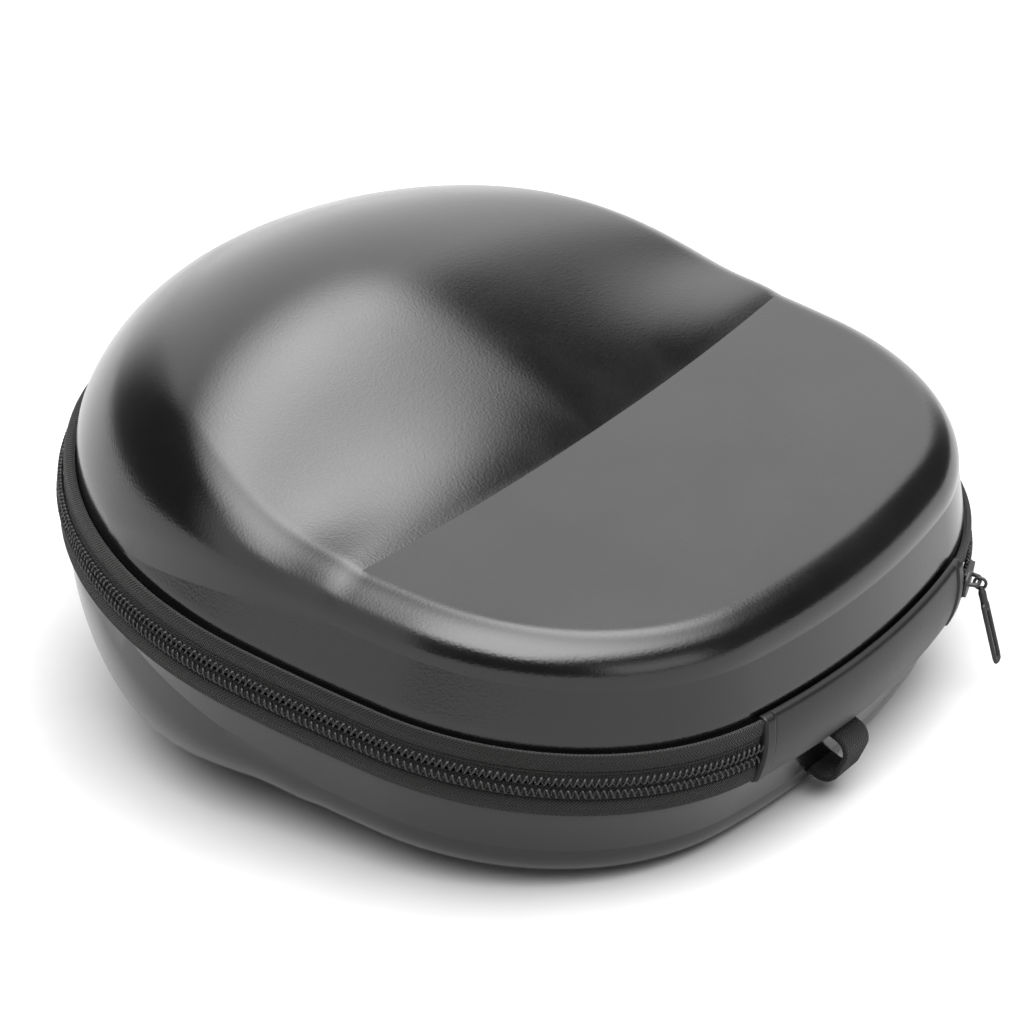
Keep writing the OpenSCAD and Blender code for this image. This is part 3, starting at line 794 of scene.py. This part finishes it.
def at_slider(points):
    """Slider frame (x along the band, y out from it, z up) to the case frame. The band's curve is kept."""
    points = np.asarray(points, float)
    a = points[:, 0] / CORNER[0]
    r = CORNER[0] + points[:, 1]
    x, y = r * np.sin(a), r * np.cos(a)
    c, s = math.cos(SLIDER_TURN), math.sin(SLIDER_TURN)
    return np.column_stack([x * c - y * s - CORNER_X, x * s + y * c + CORNER_Y, points[:, 2]])


def at_pull(points):
    """Pull frame (x along the crown, y out, z up, all from the crown's middle) to the case frame."""
    points = np.asarray(points, float)
    c, s = math.cos(HANG), math.sin(HANG)
    y, z = points[:, 1] * c - points[:, 2] * s, points[:, 1] * s + points[:, 2] * c
    x, y = points[:, 0], y + CORNER[0] + CROWN_D
    c, s = math.cos(SLIDER_TURN), math.sin(SLIDER_TURN)
    return np.column_stack([x * c - y * s - CORNER_X, x * s + y * c + CORNER_Y, z])


def plate(outline_xz, low, high, bevel):
    """A plate with a bevelled rim: an outline in x and z between two heights in y."""
    outline_xz = np.asarray(outline_xz, float)
    centre = outline_xz.mean(0)
    shrink = lambda d: centre + (outline_xz - centre) * (1 - d / np.abs(outline_xz - centre).max(0))
    rings = [(shrink(bevel), low), (outline_xz, low + bevel), (outline_xz, high - bevel),
             (shrink(bevel * 0.5), high - bevel * 0.2),
             (shrink(bevel * 1.6), high)]
    n = len(outline_xz)
    points = np.vstack([np.column_stack([r[:, 0], np.full(n, y), r[:, 1]]) for r, y in rings])
    faces = grid_faces(len(rings), n, wrap_cols=True)
    faces += [list(range(n))[::-1], list(range((len(rings) - 1) * n, len(rings) * n))]
    return points, faces


def slider():
    half_l, half_h = SLIDER_LEN / 2, SLIDER_H / 2
    shield = rounded_path(
        [[0, half_h * 0.72], [half_l * 0.55, half_h], [half_l, half_h * 0.62], [half_l, -half_h * 0.62],
         [half_l * 0.55, -half_h], [0, -half_h * 0.72],
         [-half_l * 0.8, -half_h * 0.8], [-half_l, -half_h * 0.35],
         [-half_l, half_h * 0.35], [-half_l * 0.8, half_h * 0.8], [0, half_h * 0.72]],
        (1.2, 1.2, 1.2, 1.2, 3, 1.0, 1.0, 1.0, 1.0), 5)[1:]
    top = plate(shield, PLATE_IN, PLATE_OUT, 0.22)
    under = plate(shield * (1, 0.68), -1.75, -1.15, 0.12)
    post = plate(np.array([[2.5, 0.2], [2.5, -0.2], [-2.5, -0.2], [-2.5, 0.2]]), -1.2, PLATE_IN + 0.1, 0.02)
    lips = []
    for side in (-1, 1):
        path = [[x, PLATE_IN - 0.25, side * (half_h * 0.84 - 0.05 * abs(x))]
                for x in np.linspace(-3.6, 4.0, 9)]
        lips.append(tube_mesh(path, 0.5, sides=8))
    bridge = rounded_path([[-CROWN_HALF - 0.2, PLATE_OUT - 0.4], [-CROWN_HALF + 0.5, CROWN_D],
                           [CROWN_HALF - 0.5, CROWN_D],
                           [CROWN_HALF + 0.2, PLATE_OUT - 0.4]], (1.3, 1.3), 8)
    arch = tube_mesh(np.column_stack([bridge, 0 * bridge[:, 0]]), 0.58, sides=12)
    points, faces = joined([top, under, post, *lips, arch])
    piece = make("slider_body", at_slider(points), faces, "slider", METAL, "slider_metal", sharp=35)
    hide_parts("zipper_slider")


RING_R, RING_WIRE = 1.6, 0.45
RING_DROP = RING_R - RING_WIRE - 0.6 - 0.06
PULL_TOP = -RING_DROP - RING_R - 1.2


def pull():
    a = np.linspace(0, 2 * math.pi, 36, endpoint=False)
    ring = tube_mesh(np.column_stack([0 * a, RING_R * np.sin(a), RING_R * np.cos(a) - RING_DROP]),
                     RING_WIRE, 10, closed=True)
    stub = tube_mesh([[0, 0, -RING_DROP - RING_R - 0.1], [0, 0, PULL_TOP + 0.2]], 0.85, 12)
    points, faces = joined([ring, stub])
    piece = make("pull_ring", at_pull(points), faces, "puller", METAL, "slider_metal", sharp=50)
    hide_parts("pull_link")
    wire_r = 0.62 * PULL_T
    half = PULL_W / 2 - wire_r
    low, high = PULL_TOP - PULL_LEN + wire_r, PULL_TOP - 1.1 * PULL_W
    loop = rounded_path([[0, high + 1.5], [half, high + 1.2], [half, low],
                         [-half, low], [-half, high + 1.2], [0, high + 1.5]],
                        (0.9, half * 0.98, half * 0.98, 0.9), 8)
    c, s = math.cos(math.radians(PULL_TWIST)), math.sin(math.radians(PULL_TWIST))
    cord = tube_mesh(np.column_stack([loop[:-1, 0] * c, loop[:-1, 0] * s, loop[:-1, 1]]),
                     wire_r, 10, closed=True)
    neck_z = np.linspace(PULL_TOP, high + 0.6, 9)
    neck = tube_mesh(np.column_stack([0 * neck_z, 0 * neck_z, neck_z]),
                     np.interp(neck_z, [high + 0.6, high + 2, PULL_TOP], [1.25, 1.05, 1.1]), 14)
    foot = tube_mesh([[-half * 0.7 * c, -half * 0.7 * s, low + 0.35],
                      [half * 0.7 * c, half * 0.7 * s, low + 0.35]], 1.15 * wire_r, 10)
    points, faces = joined([cord, neck, foot])
    piece = make("pull_loop", at_pull(points), faces, "puller", PULL, "pull_plastic", sharp=50)
    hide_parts("pull_tab")


slider()
pull()


# ---------------------------------------------------------------------------------------------
# Pocket in the lid: a stretched mesh panel and its elastic edge
# ---------------------------------------------------------------------------------------------
def pocket_half_width(y):
    """Half width of the lid's inside at the pocket's level, for rows at y."""
    s = np.linspace(0, HALF_WAY, 2000)
    st = outline(s)
    inset = wall_inset(st) + WALL_T + WALL_DRAFT * (POCKET_Z - BAND_H)
    p = beside(st, -inset, 0)
    widest = np.argmax(p[:, 0])
    return np.interp(y, p[: widest + 1, 1][::-1], p[: widest + 1, 0][::-1])


def pocket_sheet(name, y, z_of, thickness, material, slot, cols=81):
    width = pocket_half_width(y)
    u = np.linspace(-1, 1, cols)
    x = width[:, None] * u[None, :]
    yy = np.broadcast_to(y[:, None], x.shape)
    z = z_of(x, yy, u[None, :] + 0 * x)
    top = np.stack([x, yy, z + thickness], -1)
    low = np.stack([x, yy, z], -1)
    rows, size = len(y), len(y) * cols
    points = np.vstack([low.reshape(-1, 3), top.reshape(-1, 3)])
    faces = grid_faces(rows, cols) + grid_faces(rows, cols, first=size, flip=True)
    rim = [i for i in range(cols)] + [r * cols + cols - 1 for r in range(1, rows)]
    rim += ([(rows - 1) * cols + c for c in range(cols - 2, -1, -1)]
            + [r * cols for r in range(rows - 2, 0, -1)])
    faces += [[a, b, b + size, a + size] for a, b in zip(rim, rim[1:] + rim[:1])]
    uv = np.vstack([np.stack([x, yy], -1).reshape(-1, 2)] * 2)
    piece = make(name, points, faces, "lid", material, slot, uv, sharp=50)
    return piece


def pocket():
    # in the closed case the lid's inside looks down: the panel sags a little away from the shell
    spine_y = HALF_LEN - WALL_INSET - WALL_T - WALL_DRAFT * (POCKET_Z - BAND_H) - 0.4
    y = np.linspace(POCKET_Y + ELASTIC_W - 0.3, spine_y, 60)
    sag = lambda x, yy, u: POCKET_Z - 0.9 * (1 - u**2) * np.sin(
        np.pi * np.clip((yy - POCKET_Y) / (spine_y - POCKET_Y), 0, 1))
    panel = pocket_sheet("pocket_panel", y, sag, 0.5, MESH, "pocket_mesh")
    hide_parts("mesh_pocket")
    gather = lambda x, yy, u: POCKET_Z - 0.2 + 0.12 * np.cos(x * 2.4) * (1 - u**8)
    band = pocket_sheet("pocket_band", np.linspace(POCKET_Y, POCKET_Y + ELASTIC_W, 12), gather, 1.1,
                        ELASTIC, "elastic", cols=241)
    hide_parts("pocket_elastic")
    width = pocket_half_width(y)


pocket()

# ---------------------------------------------------------------------------------------------
# Camera, floor and studio light
# ---------------------------------------------------------------------------------------------
CAMERA = {"azimuth": 119.7, "elevation": 31, "roll": 8, "distance": 1164}  # against the zip plane
TARGET = (-1.2, 3, 0)
LENS = 154.8


def add_camera():
    a, e, r = (math.radians(CAMERA[k]) for k in ("azimuth", "elevation", "roll"))
    back = np.array([math.sin(a) * math.cos(e), -math.cos(a) * math.cos(e), math.sin(e)])
    right = np.array([math.cos(a), math.sin(a), 0])
    right = right * math.cos(r) + np.cross(back, right) * math.sin(r)
    axes = ROTATION @ np.column_stack([right, np.cross(back, right), back])
    camera = bpy.data.objects.new("camera", bpy.data.cameras.new("camera"))
    bpy.context.scene.collection.objects.link(camera)
    camera.data.lens, camera.data.sensor_width, camera.data.clip_end = LENS, 36, 20
    place = to_row([np.array(TARGET) + back * CAMERA["distance"]])[0]
    camera.matrix_world = Matrix.Translation(place) @ Matrix(axes.tolist()).to_4x4()
    bpy.context.scene.camera = camera


def add_floor(z):
    material, n = new_nodes("pale_floor")
    speck = n.noise(n.add("ShaderNodeTexCoord").outputs["Object"], 40.0, 2.0)
    n.finish(n.mix(speck, (0.4, 0.4, 0.4), (0.43, 0.43, 0.43)), 0.9, **{"Specular IOR Level": 0.2})
    mesh = bpy.data.meshes.new("floor")
    mesh.from_pydata([(-6, -6, z), (6, -6, z), (6, 6, z), (-6, 6, z)], [], [[0, 1, 2, 3]])
    mesh.materials.append(material)
    floor = bpy.data.objects.new("floor", mesh)
    bpy.context.scene.collection.objects.link(floor)
    floor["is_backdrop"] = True


LAMP_ACROSS, LAMP_DEEP = 0.7, 0.1  # how far the key lamp is from the ceiling's middle, to -X and to -Y


def add_studio():
    """Plain soft studio light: an overhead box, a round key lamp, a back wall and a strip on each side."""
    world = bpy.data.worlds.new("studio")
    bpy.context.scene.world = world
    n = Nodes(world)
    x, y, z = n.add("ShaderNodeSeparateXYZ", {0: n.add("ShaderNodeTexCoord").outputs["Generated"]}).outputs
    above = n.math("MAXIMUM", z, 0.02)
    across, deep = n.math("DIVIDE", x, above), n.math("DIVIDE", y, above)  # place on a ceiling one unit up
    azimuth = n.math("MULTIPLY", n.math("ARCTAN2", y, x), 180 / math.pi)
    from_back = n.math("MULTIPLY", n.math("ARCTAN2", n.math("MULTIPLY", y, -1.0),
                                          n.math("MULTIPLY", x, -1.0)), 180 / math.pi)
    elevation = n.math("MULTIPLY", n.math("ARCSINE", z), 180 / math.pi)
    from_lamp = n.math("SQRT", n.math("ADD", n.math("POWER", n.math("ADD", across, LAMP_ACROSS), 2.0),
                                      n.math("POWER", n.math("ADD", deep, LAMP_DEEP), 2.0)))

    def soft_box(strength, *edges):
        """A light whose edges each fade from the value where it is dark to the value where it is full."""
        value = strength
        for source, dark, full in edges:
            value = n.math("MULTIPLY", value, n.span(source, dark, full))
        return value

    lights = [
        soft_box(10.0, (across, -1.2, 0.3), (across, 1.6, 0.9), (deep, -0.6, 0.1), (deep, 1.3, 0.6)),
        soft_box(6.0, (from_lamp, 0.5, 0.0)),
        soft_box(1.7, (from_back, 0, 15), (from_back, 80, 50), (elevation, 65, 45)),
        soft_box(1.3, (azimuth, -50, -30), (azimuth, 0, -20), (elevation, 60, 40)),
        soft_box(2.0, (azimuth, 55, 70), (azimuth, 110, 95), (elevation, 0, 6), (elevation, 35, 15)),
    ]
    total = 0.12
    for light in lights:
        total = n.math("ADD", total, light)
    glow = n.add("ShaderNodeBackground", {"Color": (1, 1, 1, 1), "Strength": total})
    n.tree.links.new(glow.outputs[0], n.add("ShaderNodeOutputWorld").inputs[0])


add_camera()
add_floor(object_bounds()[0].z)
add_studio()
bpy.context.scene.view_settings.view_transform = "Standard"
